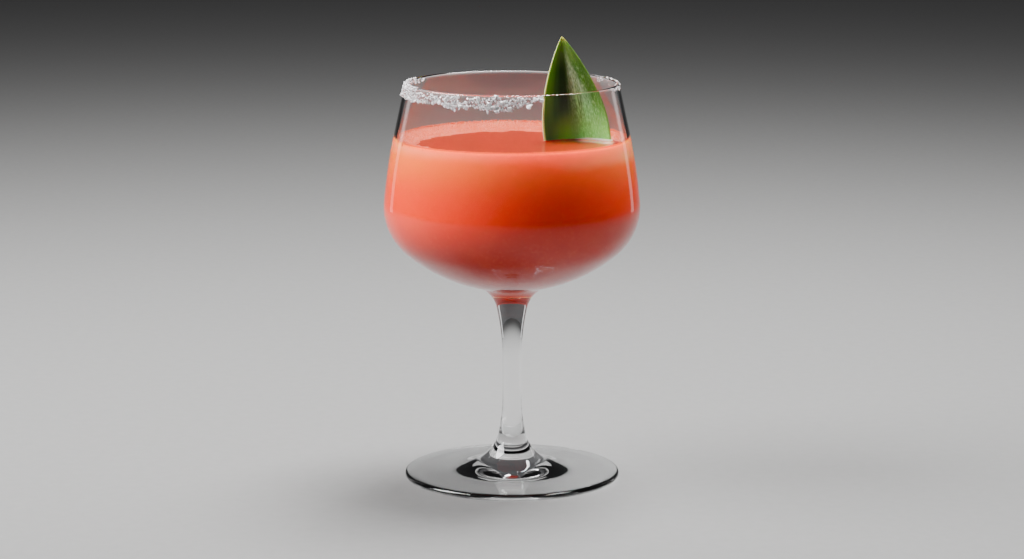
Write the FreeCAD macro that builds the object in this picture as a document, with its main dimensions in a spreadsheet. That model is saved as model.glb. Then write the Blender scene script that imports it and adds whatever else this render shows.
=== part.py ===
"""Margarita in a stemmed glass: glass, drink, pineapple leaf and a salted rim.

Millimetres. +Z is up and the origin is the middle of the foot, on the table.
-Y is the front: the leaf's hollow side and most of the salt face that way.
Angles round the glass run from +X (right) over +Y (back).
"""
import FreeCAD, Part
import math
import os
import random
import Sketcher
from FreeCAD import Placement, Rotation, Vector

doc = FreeCAD.newDocument("Margarita")

# ---------------------------------------------------------------- driving sizes
SIZES = [
    # Foot
    ("foot_radius", 40.7, "outside of the foot"),
    ("foot_edge_radius", 1.05, "full round of the foot's edge"),
    ("foot_slope", 3.0, "fall of the foot's top towards its edge, degrees"),
    ("foot_ring_width", 3.2, "flat ring that stands on the table"),
    ("foot_recess", 1.2, "hollow under the middle of the foot"),
    ("bell_radius", 15.0, "round where the stem opens into the foot"),
    ("bell_join_radius", 12.4, "where that round meets the flatter one"),
    ("bell_spread_radius", 28.0, "flatter round that runs out into the foot"),
    # Stem
    ("stem_height", 71.7, "table to the bottom of the bowl's outside"),
    ("stem_radius", 3.56, "stem at its waist"),
    ("stem_waist_low", 32.0, "table to the lower end of the waist"),
    ("stem_waist_drop", 27.3, "bowl's bottom to the upper end of the waist"),
    ("stem_low_flare", 80.0, "round of the lower flare"),
    ("stem_top_flare", 95.0, "round of the upper flare"),
    ("neck_radius", 11.5, "round between the stem and the bowl"),
    # Bowl
    ("belly_rise", 31.7, "bowl's bottom to its widest place"),
    ("side_rise", 46.6, "widest place to the rim"),
    ("belly_radius", 48.05, "outside of the bowl at its widest"),
    ("belly_round", 22.3, "round of the belly"),
    ("side_round", 225.0, "long round of the side"),
    ("lip_length", 17.5, "straight stretch under the rim"),
    ("rim_radius", 39.8, "outside of the rim"),
    ("wall", 1.3, "wall of the bowl"),
    ("bowl_floor", 2.0, "glass under the lowest place of the drink"),
    ("rim_fillet", 0.5, "fire-polished round of the rim"),
    # Drink
    ("drink_drop", 20.7, "rim to the surface of the drink"),
    # Leaf
    ("leaf_length", 55.8, "tip to the cut end"),
    ("leaf_width", 23.1, "across its widest place"),
    ("leaf_taper", 36.0, "tip to the widest place"),
    ("leaf_thickness", 1.5, "along the middle"),
    ("leaf_margin", 0.7, "at the margins"),
    ("leaf_channel", 54.0, "half the angle that the channel spans, degrees"),
    ("leaf_lean", 8.6, "lean of the tip to the left, degrees"),
    ("leaf_dip", 16.8, "drink's surface to the cut end"),
    ("leaf_gap", 2.75, "leaf's right margin to the inside of the rim, seen from the front"),
    ("leaf_y", -6.0, "leaf's middle at the surface, to the back"),
    # Salt
    ("crust_start", 157.0, "main crust, from this angle, degrees"),
    ("crust_end", 286.0, "main crust, to this angle, degrees"),
    ("crust_depth_left", 4.0, "mean depth of the main crust down the wall, where it starts"),
    ("crust_depth_front", 5.6, "mean depth of the main crust down the wall, where it ends"),
    ("crust_build", 1.3, "mean thickness of the main crust"),
    ("crust_seat", 0.02, "clearance of both crusts from the glass"),
    ("patch_start", -12.0, "thin crust at the right, from this angle, degrees"),
    ("patch_end", 46.0, "thin crust at the right, to this angle, degrees"),
    ("patch_depth", 2.6, "mean depth of the thin crust"),
    ("patch_build", 0.8, "mean thickness of the thin crust"),
]

sheet = doc.addObject("Spreadsheet::Sheet", "Sizes")
for row, (alias, value, meaning) in enumerate(SIZES, start=1):
    sheet.set(f"A{row}", alias)
    sheet.set(f"B{row}", str(value))
    sheet.set(f"C{row}", meaning)
    sheet.setAlias(f"B{row}", alias)
doc.recompute()


def size(expression):
    """The value of a driving size, or of an expression of them."""
    return float(sheet.evalExpression(expression))


# Heights and radii that follow from the driving sizes, as expressions.
BELLY_HEIGHT = "(Sizes.stem_height + Sizes.belly_rise)"
RIM_HEIGHT = "(Sizes.stem_height + Sizes.belly_rise + Sizes.side_rise)"
DRINK_LEVEL = f"({RIM_HEIGHT} - Sizes.drink_drop)"
WAIST_TOP = "(Sizes.stem_height - Sizes.stem_waist_drop)"
BELLY_CENTRE = "(Sizes.belly_radius - Sizes.belly_round)"
RIM_FILLET = "min(Sizes.rim_fillet; 0.45 * Sizes.wall)"
CLEAR_OF_RIM = f"({RIM_HEIGHT} + 1)"
LEAF_SIDE = "(Sizes.rim_radius - Sizes.wall - Sizes.leaf_gap - Sizes.leaf_width / 2)"


def ball_radius(rise, belly_round):
    """Radius of the ball that closes a bowl `rise` under its belly.

    It is centred on the axis and runs smoothly into the belly's round.
    """
    return f"(({rise})^2 + {BELLY_CENTRE}^2 - ({belly_round})^2) / (2 * ({rise} - {belly_round}))"


# ------------------------------------------------------------- sketch helpers
ORIGIN = (-1, 1)
TABLE_AXIS = -1
UPRIGHT_AXIS = -2
START, END, CENTRE = 1, 2, 3


class Outline:
    """A closed outline, drawn roughly and then brought to size by its constraints."""

    def __init__(self, body, name, plane="XZ_Plane"):
        self.sketch = body.newObject("Sketcher::SketchObject", name)
        faces = {face.Role: face for face in body.Origin.OriginFeatures}
        self.sketch.AttachmentSupport = [(faces[plane], "")]
        self.sketch.MapMode = "FlatFace"
        self.constraints = []
        self.bindings = {}

    def draw(self, start, strokes):
        """Draw strokes (name, end, bulge) one after another and return their numbers.

        A stroke with no bulge is a line. A positive bulge lies left of the stroke's way.
        """
        numbers = {}
        for name, end, bulge in strokes:
            way = end - start
            left = Vector(-way.y, way.x, 0).normalize()
            if bulge:
                curve = Part.Arc(start, (start + end) * 0.5 + left * bulge, end)
            else:
                curve = Part.LineSegment(start, end)
            numbers[name] = self.sketch.addGeometry(curve, False)
            start = end
        return numbers

    def gap(self, first, first_end, second, second_end):
        point = self.sketch.getPoint
        return point(first, first_end).distanceToPoint(point(second, second_end))

    def chain(self, pieces, corners):
        """Join each piece to the next: at a corner after each of `corners`, else smoothly."""
        for first, second in zip(pieces, pieces[1:] + pieces[:1]):
            ends = ((a, b) for a in (START, END) for b in (START, END))
            a, b = min(ends, key=lambda pair: self.gap(first, pair[0], second, pair[1]))
            kind = "Coincident" if first in corners else "Tangent"
            self.fix(kind, first, a, second, b)

    def end(self, piece, near):
        """Which end of a piece lies nearer to a place."""
        point = self.sketch.getPoint
        return min((START, END), key=lambda end: point(piece, end).distanceToPoint(near))

    def fix(self, kind, *where):
        """Add a constraint that has no size."""
        self.constraints.append(Sketcher.Constraint(kind, *where))

    def give(self, expression, kind, *where):
        """Add a dimension and bind it to the sheet."""
        value = size(expression)
        if kind == "Angle":
            value = math.radians(value)
        self.bindings[len(self.constraints)] = expression
        self.constraints.append(Sketcher.Constraint(kind, *where, value))

    def held(self):
        """The sketch, brought to size by all its constraints together."""
        self.sketch.addConstraint(self.constraints)
        for number, expression in self.bindings.items():
            self.sketch.setExpression(f"Constraints[{number}]", expression)
        if self.sketch.solve() != 0 or not self.sketch.FullyConstrained:
            raise ValueError(f"{self.sketch.Name} isn't fully constrained")
        return self.sketch


def turned(body, outline, kind, name):
    """Turn an outline once round the upright axis, as a solid or as a cut."""
    feature = body.newObject(f"PartDesign::{kind}", name)
    feature.Profile = outline.held()
    feature.ReferenceAxis = (outline.sketch, ["V_Axis"])
    feature.Angle = 360
    body.Tip = feature
    return feature


# ------------------------------------------------------------ bowl's two faces
ROUGH_LEAN = math.radians(12)


def bowl_places(rise, inset):
    """Rough places along one face of the bowl, from the rim down to its closing ball."""
    round_ = size(f"Sizes.belly_round - {inset}")
    centre = Vector(size(BELLY_CENTRE), size(BELLY_HEIGHT), 0)
    radius = size(ball_radius(rise, f"(Sizes.belly_round - {inset})"))
    ball = Vector(0, centre.y - size(rise) + radius, 0)
    rim = Vector(size(f"Sizes.rim_radius - {inset}"), size(RIM_HEIGHT), 0)
    lip = Vector(math.sin(ROUGH_LEAN), -math.cos(ROUGH_LEAN), 0) * size("Sizes.lip_length")
    widest = centre + Vector(round_, 0, 0)
    under = ball + (centre - ball).normalize() * radius
    return rim, rim + lip, widest, under, ball, radius


def size_bowl(out, pieces, rise, inset):
    """Dimensions that the bowl's outside and its inside share."""
    out.give(f"Sizes.rim_radius - {inset}", "DistanceX", *ORIGIN, pieces["lip"], START)
    out.give(RIM_HEIGHT, "DistanceY", *ORIGIN, pieces["lip"], START)
    out.give("Sizes.lip_length", "Distance", pieces["lip"])
    out.give(f"Sizes.side_round - {inset}", "Radius", pieces["side"])
    out.give(f"Sizes.belly_round - {inset}", "Radius", pieces["belly"])
    out.give(BELLY_CENTRE, "DistanceX", *ORIGIN, pieces["belly"], CENTRE)
    out.give(BELLY_HEIGHT, "DistanceY", *ORIGIN, pieces["belly"], CENTRE)
    out.fix("PointOnObject", pieces["ball"], CENTRE, UPRIGHT_AXIS)
    out.give(ball_radius(rise, f"(Sizes.belly_round - {inset})"), "Radius", pieces["ball"])


def sagitta(start, end, radius):
    """How far an arc of that radius bulges from its chord."""
    half = (end - start).Length / 2
    return radius - math.sqrt(radius ** 2 - half ** 2)


# ----------------------------------------------------------------------- glass
def glass_outside(body):
    """Half of the glass as if it were solid to the rim: bowl, stem and foot."""
    out = Outline(body, "GlassOutside")
    rise, inset = "Sizes.belly_rise", "0"
    # Rough places for the solver to start from. The constraints bring each one to size.
    rim, shoulder, widest, under, ball, radius = bowl_places(rise, inset)
    neck = size("Sizes.neck_radius")
    waist = size("Sizes.stem_radius")
    bell = size("Sizes.bell_radius")
    edge = size("Sizes.foot_edge_radius")
    throat_x = 1.2 * neck
    throat = Vector(throat_x, ball.y - math.sqrt(radius ** 2 - throat_x ** 2), 0)
    collar = Vector(1.6 * waist, throat.y - 0.9 * neck, 0)
    waist_top = Vector(waist, size(WAIST_TOP), 0)
    waist_low = Vector(waist, size("Sizes.stem_waist_low"), 0)
    ankle = Vector(1.35 * waist, waist_low.y - bell, 0)
    join = Vector(size("Sizes.bell_join_radius"), 0.42 * bell, 0)
    spread = Vector(2 * join.x, 2.8 * edge, 0)
    edge_top = Vector(size("Sizes.foot_radius") - edge, 2 * edge, 0)
    edge_low = Vector(edge_top.x, 0, 0)
    ring = Vector(edge_low.x - size("Sizes.foot_ring_width"), 0, 0)
    recess = Vector(0, size("Sizes.foot_recess"), 0)
    pieces = out.draw(rim, [
        ("lip", shoulder, 0),
        ("side", widest, sagitta(shoulder, widest, size("Sizes.side_round"))),
        ("belly", under, sagitta(widest, under, size("Sizes.belly_round"))),
        ("ball", throat, sagitta(under, throat, radius)),
        ("neck", collar, -sagitta(throat, collar, neck)),
        ("top_flare", waist_top, -sagitta(collar, waist_top, size("Sizes.stem_top_flare"))),
        ("waist", waist_low, 0),
        ("low_flare", ankle, -sagitta(waist_low, ankle, size("Sizes.stem_low_flare"))),
        ("bell", join, -sagitta(ankle, join, bell)),
        ("spread", spread, -sagitta(join, spread, size("Sizes.bell_spread_radius"))),
        ("plate", edge_top, 0),
        ("edge", edge_low, 0.98 * edge),
        ("ring", ring, 0),
        ("recess", recess, -0.3 * recess.y),
        ("axis", Vector(0, rim.y, 0), 0),
        ("top", rim, 0),
    ])
    out.chain(list(pieces.values()), [pieces[name] for name in ("ring", "recess", "axis", "top")])
    size_bowl(out, pieces, rise, inset)
    for name, expression in (
        ("neck", "Sizes.neck_radius"),
        ("top_flare", "Sizes.stem_top_flare"),
        ("low_flare", "Sizes.stem_low_flare"),
        ("bell", "Sizes.bell_radius"),
        ("spread", "Sizes.bell_spread_radius"),
        ("edge", "Sizes.foot_edge_radius"),
    ):
        out.give(expression, "Radius", pieces[name])
    out.fix("Vertical", pieces["waist"])
    out.give("Sizes.stem_radius", "DistanceX", *ORIGIN, pieces["waist"], START)
    out.give(WAIST_TOP, "DistanceY", *ORIGIN, pieces["waist"], START)
    out.give("Sizes.stem_waist_low", "DistanceY", *ORIGIN, pieces["waist"], END)
    joint = out.end(pieces["bell"], join)
    out.give("Sizes.bell_join_radius", "DistanceX", *ORIGIN, pieces["bell"], joint)
    out.give("-Sizes.foot_slope", "Angle", pieces["plate"])
    out.give("Sizes.foot_radius - Sizes.foot_edge_radius", "DistanceX", *ORIGIN, pieces["edge"], CENTRE)
    out.give("Sizes.foot_ring_width", "Distance", pieces["ring"])
    out.fix("Horizontal", pieces["ring"])
    out.fix("PointOnObject", pieces["ring"], START, TABLE_AXIS)
    out.fix("PointOnObject", pieces["recess"], CENTRE, UPRIGHT_AXIS)
    out.give("Sizes.foot_recess", "DistanceY", *ORIGIN, pieces["axis"], START)
    out.fix("PointOnObject", pieces["axis"], START, UPRIGHT_AXIS)
    out.fix("Vertical", pieces["axis"])
    out.fix("Horizontal", pieces["top"])
    return out


def cavity(body, name):
    """Half of the bowl's inside, from the rim down to the axis."""
    out = Outline(body, name)
    rise, inset = "(Sizes.belly_rise - Sizes.bowl_floor)", "Sizes.wall"
    rim, shoulder, widest, under, ball, radius = bowl_places(rise, inset)
    bottom = ball - Vector(0, radius, 0)
    pieces = out.draw(rim, [
        ("lip", shoulder, 0),
        ("side", widest, sagitta(shoulder, widest, size("Sizes.side_round"))),
        ("belly", under, sagitta(widest, under, size("Sizes.belly_round"))),
        ("ball", bottom, sagitta(under, bottom, radius)),
        ("axis", Vector(0, rim.y, 0), 0),
        ("top", rim, 0),
    ])
    out.chain(list(pieces.values()), [pieces[name] for name in ("ball", "axis", "top")])
    size_bowl(out, pieces, rise, inset)
    out.fix("PointOnObject", pieces["axis"], START, UPRIGHT_AXIS)
    out.fix("Vertical", pieces["axis"])
    out.fix("Horizontal", pieces["top"])
    return out


SAME_HEIGHT = 1e-4


def edges_at(shape, height):
    """Names of the closed edges that lie level at a height."""
    names = []
    for number, edge in enumerate(shape.Edges, start=1):
        off = max(abs(edge.BoundBox.ZMin - height), abs(edge.BoundBox.ZMax - height))
        if edge.isClosed() and off < SAME_HEIGHT:
            names.append(f"Edge{number}")
    return names


def make_glass():
    """Blown glass in one piece: turned outside, hollowed bowl, fire-polished rim."""
    body = doc.addObject("PartDesign::Body", "GlassBody")
    turned(body, glass_outside(body), "Revolution", "GlassTurned")
    doc.recompute()
    hollow = turned(body, cavity(body, "GlassCavity"), "Groove", "GlassHollow")
    doc.recompute()
    rounded = body.newObject("PartDesign::Fillet", "GlassRim")
    rounded.Base = (hollow, edges_at(hollow.Shape, size(RIM_HEIGHT)))
    rounded.setExpression("Radius", RIM_FILLET)
    body.Tip = rounded
    body.Label = "glass"
    doc.recompute()
    return body


# ----------------------------------------------------------------------- drink
def make_fill():
    """Everything the bowl holds up to the drink's surface."""
    body = doc.addObject("PartDesign::Body", "FillBody")
    turned(body, cavity(body, "FillOutline"), "Revolution", "FillTurned")
    doc.recompute()
    out = Outline(body, "FillHeadroom")
    level, over, reach = (size(name) for name in (DRINK_LEVEL, CLEAR_OF_RIM, "Sizes.belly_radius"))
    pieces = out.draw(Vector(0, level, 0), [
        ("level", Vector(reach, level, 0), 0),
        ("outer", Vector(reach, over, 0), 0),
        ("over", Vector(0, over, 0), 0),
        ("axis", Vector(0, level, 0), 0),
    ])
    numbers = list(pieces.values())
    out.chain(numbers, numbers)
    out.fix("Horizontal", pieces["level"])
    out.fix("Vertical", pieces["outer"])
    out.fix("Horizontal", pieces["over"])
    out.fix("Vertical", pieces["axis"])
    out.fix("PointOnObject", pieces["level"], START, UPRIGHT_AXIS)
    out.give(DRINK_LEVEL, "DistanceY", *ORIGIN, pieces["level"], START)
    out.give("Sizes.belly_radius", "Distance", pieces["level"])
    out.give(CLEAR_OF_RIM, "DistanceY", *ORIGIN, pieces["over"], END)
    turned(body, out, "Groove", "FillLevel")
    doc.recompute()
    return body


# ------------------------------------------------------------------------ leaf
# Places of the leaf's cross-sections, from its tip (0) to its cut end (1).
LEAF_STATIONS = (0.004, 0.03, 0.08, 0.16, 0.27, 0.42, 0.6, 0.8, 1.0)
LEAF_SHARPNESS = 0.9


def leaf_section(body, number, station):
    """One crescent across the leaf, hollow towards -Y, at a station along it."""
    out = Outline(body, f"LeafSection{number}", plane="XY_Plane")
    along = f"(Sizes.leaf_length * {station})"
    fullness = f"(sin(90 deg * {along} / Sizes.leaf_taper)^{LEAF_SHARPNESS})"
    slimness = f"(sqrt({fullness}))"
    half_angle = "(Sizes.leaf_channel * 1 deg)"
    margin = f"(Sizes.leaf_margin * {slimness})"
    middle = f"(Sizes.leaf_thickness * {slimness})"
    outer_x = f"(Sizes.leaf_width / 2 * {fullness})"
    inner_x = f"({outer_x} - min({margin} * sin({half_angle}); {outer_x} / 2))"
    inner_round = f"({inner_x} / sin({half_angle}))"
    inner_y = f"({inner_round} * (1 - cos({half_angle})))"
    outer_y = f"({inner_y} - {margin} * cos({half_angle}))"
    bulge = f"({outer_y} + {middle})"
    outer_round = f"(({outer_x}^2 + {bulge}^2) / (2 * {bulge}))"
    inner_left = Vector(-size(inner_x), -size(inner_y), 0)
    inner_right = Vector(size(inner_x), -size(inner_y), 0)
    outer_left = Vector(-size(outer_x), -size(outer_y), 0)
    outer_right = Vector(size(outer_x), -size(outer_y), 0)
    pieces = out.draw(inner_right, [
        ("inner", inner_left, -size(inner_y)),
        ("left", outer_left, 0),
        ("outer", outer_right, size(bulge)),
        ("right", inner_right, 0),
    ])
    numbers = list(pieces.values())
    out.chain(numbers, numbers)
    right, left = out.end(pieces["inner"], inner_right), out.end(pieces["inner"], inner_left)
    out.fix("PointOnObject", pieces["inner"], CENTRE, UPRIGHT_AXIS)
    out.give(inner_round, "Radius", pieces["inner"])
    out.give(f"-{inner_round}", "DistanceY", *ORIGIN, pieces["inner"], CENTRE)
    out.give(inner_x, "DistanceX", *ORIGIN, pieces["inner"], right)
    out.give(f"-{inner_x}", "DistanceX", *ORIGIN, pieces["inner"], left)
    right, left = out.end(pieces["outer"], outer_right), out.end(pieces["outer"], outer_left)
    out.fix("PointOnObject", pieces["outer"], CENTRE, UPRIGHT_AXIS)
    out.give(outer_round, "Radius", pieces["outer"])
    out.give(outer_x, "DistanceX", *ORIGIN, pieces["outer"], right)
    out.give(f"-{outer_x}", "DistanceX", *ORIGIN, pieces["outer"], left)
    out.give(f"-{outer_y}", "DistanceY", *ORIGIN, pieces["outer"], right)
    height = f"Sizes.leaf_length * {1 - station} - Sizes.leaf_dip"
    out.sketch.setExpression("AttachmentOffset.Base.z", height)
    return out.held()


def make_leaf():
    """A spear of pineapple leaf: a channelled blade, thin at its margins, stood in the drink."""
    body = doc.addObject("PartDesign::Body", "LeafBody")
    sections = [leaf_section(body, *pair) for pair in enumerate(LEAF_STATIONS, start=1)]
    doc.recompute()
    blade = body.newObject("PartDesign::AdditiveLoft", "LeafBlade")
    blade.Profile = sections[0]
    blade.Sections = sections[1:]
    body.Tip = blade
    body.Placement = Placement(Vector(0, 0, 0), Rotation(Vector(0, -1, 0), size("Sizes.leaf_lean")))
    body.setExpression("Placement.Rotation.Angle", "Sizes.leaf_lean")
    body.setExpression("Placement.Base.x", LEAF_SIDE)
    body.setExpression("Placement.Base.y", "Sizes.leaf_y")
    body.setExpression("Placement.Base.z", DRINK_LEVEL)
    body.Label = "leaf"
    doc.recompute()
    return body


def make_drink(fill, leaf):
    """The drink up to its surface, parted by the leaf that stands in it."""
    drink = doc.addObject("Part::Cut", "DrinkAroundLeaf")
    drink.Base = fill
    drink.Tool = leaf
    drink.Label = "drink"
    doc.recompute()
    return drink


# ------------------------------------------------------------------------ salt
CRUST_STEP = 3.0  # degrees between the crust's sections
CRUST_LEAST_STEPS = 6
CRUST_WAVES = 5  # waves that add up to its unevenness
DEPTH_SPREAD, BUILD_SPREAD = 0.14, 0.3
END_SHARE, END_RUN = 0.3, 0.14  # size at each end, and the share of the course that grows to full
# The crust's section. Over the wall: shares of the wall inwards, and of the build upwards.
# Outside the lip: shares of the build outwards, and of the depth downwards.
CRUST_SEATED = (0.4, 0.8)
CRUST_OVER = ((0.8, 0.4), (0.2, 0.75))
CRUST_OUTSIDE = ((0.85, 0.15), (1.0, 0.62), (0.35, 1.0))
CRUST_LOW = 0.92


def unevenness(seed, spread):
    """A smooth uneven course from 0 to 1, about 1 and within `spread` of it."""
    dice = random.Random(seed)
    waves = [(dice.uniform(2, 16), dice.uniform(0, 2 * math.pi)) for _ in range(CRUST_WAVES)]
    strength = spread / CRUST_WAVES ** 0.5

    def course(place):
        return 1 + strength * sum(math.sin(rate * math.pi * place + turn) for rate, turn in waves)

    return course


def lip_lean():
    """Lean of the straight stretch under the rim, read from the glass's outline."""
    outline = doc.getObject("GlassOutside")
    way = outline.getPoint(0, END) - outline.getPoint(0, START)
    return math.atan2(way.x, -way.y)


def crust_section(angle, depth, build):
    """Wire round the crust at an angle: up the wall, over the rim and back outside."""
    lean, wall, seat = lip_lean(), size("Sizes.wall"), size("Sizes.crust_seat")
    fillet = size(RIM_FILLET)
    up = Vector(0, 0, 1)
    down = Vector(math.sin(lean), 0, -math.cos(lean))
    out = Vector(math.cos(lean), 0, math.sin(lean))
    rim = Vector(size("Sizes.rim_radius"), 0, size(RIM_HEIGHT))
    round_centre = rim - out * fillet + down * fillet
    places = [
        rim + down * (depth * CRUST_LOW) + out * seat,
        rim + down * fillet + out * seat,
        round_centre + (out + up).normalize() * (fillet + seat),
    ]
    places += [rim - Vector(inward * wall, 0, 0) + up * seat for inward in CRUST_SEATED]
    places += [rim - Vector(inward * wall, 0, 0) + up * (rise * build) for inward, rise in CRUST_OVER]
    places += [rim + out * (proud * build) + down * (low * depth) for proud, low in CRUST_OUTSIDE]
    to_angle = Rotation(up, angle)
    corners = [to_angle.multVec(place) for place in places]
    return Part.makePolygon(corners + corners[:1])


def make_crust(name, course, depth, build, seed):
    """A crust of salt grains that caps the rim and hangs down its outside.

    Its course and its depth each have a size at the first end and one at the last.
    """
    first, last = (size(end) for end in course)
    first_depth, last_depth = (size(end) for end in depth)
    depths, builds = unevenness(seed, DEPTH_SPREAD), unevenness(seed + 1, BUILD_SPREAD)
    count = max(CRUST_LEAST_STEPS, round((last - first) / CRUST_STEP))
    wires = []
    for step in range(count + 1):
        place = step / count
        taper = min(1, END_SHARE + (1 - END_SHARE) * min(place, 1 - place) / END_RUN)
        deep = (first_depth + (last_depth - first_depth) * place) * depths(place) * taper
        thick = size(build) * builds(place) * taper
        wires.append(crust_section(first + (last - first) * place, deep, thick))
    crust = doc.addObject("Part::Feature", name)
    crust.Shape = Part.makeLoft(wires, True, False)
    crust.Label = name
    return crust


# -------------------------------------------------------------------- assembly
glass = make_glass()
fill = make_fill()
leaf = make_leaf()
drink = make_drink(fill, leaf)
crust_course = ("Sizes.crust_start", "Sizes.crust_end")
crust_depth = ("Sizes.crust_depth_left", "Sizes.crust_depth_front")
crust = make_crust("salt_crust", crust_course, crust_depth, "Sizes.crust_build", seed=11)
patch_course = ("Sizes.patch_start", "Sizes.patch_end")
patch_depth = ("Sizes.patch_depth", "Sizes.patch_depth")
patch = make_crust("salt_patch", patch_course, patch_depth, "Sizes.patch_build", seed=23)
nodes = [glass, drink, leaf, crust, patch]

failed = [thing.Name for thing in doc.Objects if {"Invalid", "Error"} & set(thing.State)]
if failed:
    raise ValueError(f"failed: {failed}")
os.makedirs("parts", exist_ok=True)
for node in nodes:
    shape = node.Shape
    if shape.isNull() or not shape.isValid() or len(shape.Solids) != 1:
        raise ValueError(f"{node.Label} isn't one valid solid")
    print(f"{node.Label}: {shape.Volume / 1000:.2f} cm3, {len(shape.Faces)} faces")
for node in nodes:
    node.Shape.exportStep(f"parts/{node.Label}.step")
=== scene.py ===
# %% [markdown]
# # A margarita in its stemmed glass
# The object is a clear stemmed glass with a cloudy coral-orange drink, coarse salt on part of its rim and
# one spear of pineapple leaf stood in the drink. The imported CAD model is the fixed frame: it gives the
# sizes and the places, and the cells below make the visible pieces round it. Lengths are written in
# millimetres and scaled to metres.

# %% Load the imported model
import math
import random

import bmesh
import bpy
from mathutils import Matrix, Vector


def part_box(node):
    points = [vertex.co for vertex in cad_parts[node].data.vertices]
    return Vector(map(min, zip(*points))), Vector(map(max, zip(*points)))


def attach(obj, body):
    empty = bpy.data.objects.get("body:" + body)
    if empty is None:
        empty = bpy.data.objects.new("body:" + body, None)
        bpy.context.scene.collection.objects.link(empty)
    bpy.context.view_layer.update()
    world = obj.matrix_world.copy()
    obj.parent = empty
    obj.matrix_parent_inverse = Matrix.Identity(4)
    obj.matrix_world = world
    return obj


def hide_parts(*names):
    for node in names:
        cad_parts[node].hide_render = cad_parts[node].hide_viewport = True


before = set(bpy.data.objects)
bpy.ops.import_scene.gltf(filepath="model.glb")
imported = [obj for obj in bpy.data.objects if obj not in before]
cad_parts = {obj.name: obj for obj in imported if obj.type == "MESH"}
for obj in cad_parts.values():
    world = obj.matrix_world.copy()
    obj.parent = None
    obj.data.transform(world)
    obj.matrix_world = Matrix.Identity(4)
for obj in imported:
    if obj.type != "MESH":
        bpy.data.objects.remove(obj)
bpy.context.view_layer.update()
MM = 0.001
print("CAD nodes:", sorted(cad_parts))

# %% [markdown]
# ## Camera
# The object is seen from a little above and from well over a metre away with a long lens, so that the rim
# is a slim ellipse and the foot a slightly fuller one. Turning the camera a right angle about X makes it
# look along +Y, and taking off the pitch makes it look down. Everything that is made here, the camera too,
# becomes part of the scene when its object is linked to the scene's collection, which `placed` does.

# %% Camera
def placed(name, data):
    thing = bpy.data.objects.new(name, data)
    bpy.context.scene.collection.objects.link(thing)
    return thing


CAMERA_DISTANCE, CAMERA_HEIGHT, CAMERA_PITCH = 1.110, 0.285, 10.69
LENS, SENSOR_WIDTH = 105.47, 36
lens = bpy.data.cameras.new("camera")
lens.lens, lens.sensor_width = LENS, SENSOR_WIDTH
camera = placed("camera", lens)
camera.location = (0, -CAMERA_DISTANCE, CAMERA_HEIGHT)
camera.rotation_euler = (math.radians(90 - CAMERA_PITCH), 0, 0)
bpy.context.scene.camera = camera
print("camera looks down", CAMERA_PITCH, "degrees")

# %% [markdown]
# ## Words for building node trees
# A geometry tree and a material are both graphs of nodes. These helpers add one node, fill its sockets from
# a dictionary with links or plain values, and hand back its outputs. A key is a socket's name, or its
# number where several sockets share a name.

# %% Node helpers
def socket_named(sockets, name):
    if isinstance(name, int):
        return sockets[name]
    return next(s for s in sockets if s.name == name and s.enabled)


def add(tree, kind, feeds=None, **settings):
    node = tree.nodes.new(kind)
    for option, value in settings.items():
        setattr(node, option, value)
    for name, value in (feeds or {}).items():
        socket = socket_named(node.inputs, name)
        if isinstance(value, bpy.types.NodeSocket):
            tree.links.new(value, socket)
        else:
            socket.default_value = value
    return node.outputs


# %% [markdown]
# Most nodes do plain sums on numbers that differ from place to place. Short words for them keep the trees
# readable: `times` multiplies as many values as it is given, and `remap` turns one range into another, by
# default with a soft start and end.

# %% Sums
def maths(tree, operation, *values):
    return add(tree, "ShaderNodeMath", dict(enumerate(values)), operation=operation)[0]


def plus(tree, first, second):
    return maths(tree, "ADD", first, second)


def minus(tree, first, second):
    return maths(tree, "SUBTRACT", first, second)


def times(tree, product, *factors):
    for factor in factors:
        product = maths(tree, "MULTIPLY", product, factor)
    return product


def over(tree, first, second):
    return maths(tree, "DIVIDE", first, second)


def remap(tree, value, low, high, new_low=0.0, new_high=1.0, style="SMOOTHSTEP"):
    feeds = {"Value": value, "From Min": low, "From Max": high, "To Min": new_low, "To Max": new_high}
    return socket_named(add(tree, "ShaderNodeMapRange", feeds, interpolation_type=style), "Result")


def split(tree, vector):
    return add(tree, "ShaderNodeSeparateXYZ", {0: vector})


# %% [markdown]
# A geometry tree starts with its named inputs. `run_tree` puts the tree on a piece as a modifier, sets each
# input by its socket's identifier before anything is evaluated, and keeps the result as a plain mesh,
# because a plain mesh is what a frame needs and what an export keeps.

# %% Geometry tree helpers
def start_tree(name, **inputs):
    tree = bpy.data.node_groups.new(name, "GeometryNodeTree")
    face = tree.interface
    face.new_socket("Geometry", in_out="INPUT", socket_type="NodeSocketGeometry")
    for label, kind in inputs.items():
        face.new_socket(label.replace("_", " "), in_out="INPUT", socket_type=f"NodeSocket{kind}")
    face.new_socket("Geometry", in_out="OUTPUT", socket_type="NodeSocketGeometry")
    return tree, tree.nodes.new("NodeGroupInput").outputs


def end_tree(tree, geometry, finish, where=True):
    solid = add(tree, "GeometryNodeRealizeInstances", {"Geometry": geometry})[0]
    feeds = {"Geometry": solid, "Material": finish, "Selection": where}
    coated = add(tree, "GeometryNodeSetMaterial", feeds)[0]
    tree.links.new(coated, tree.nodes.new("NodeGroupOutput").inputs[0])


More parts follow.
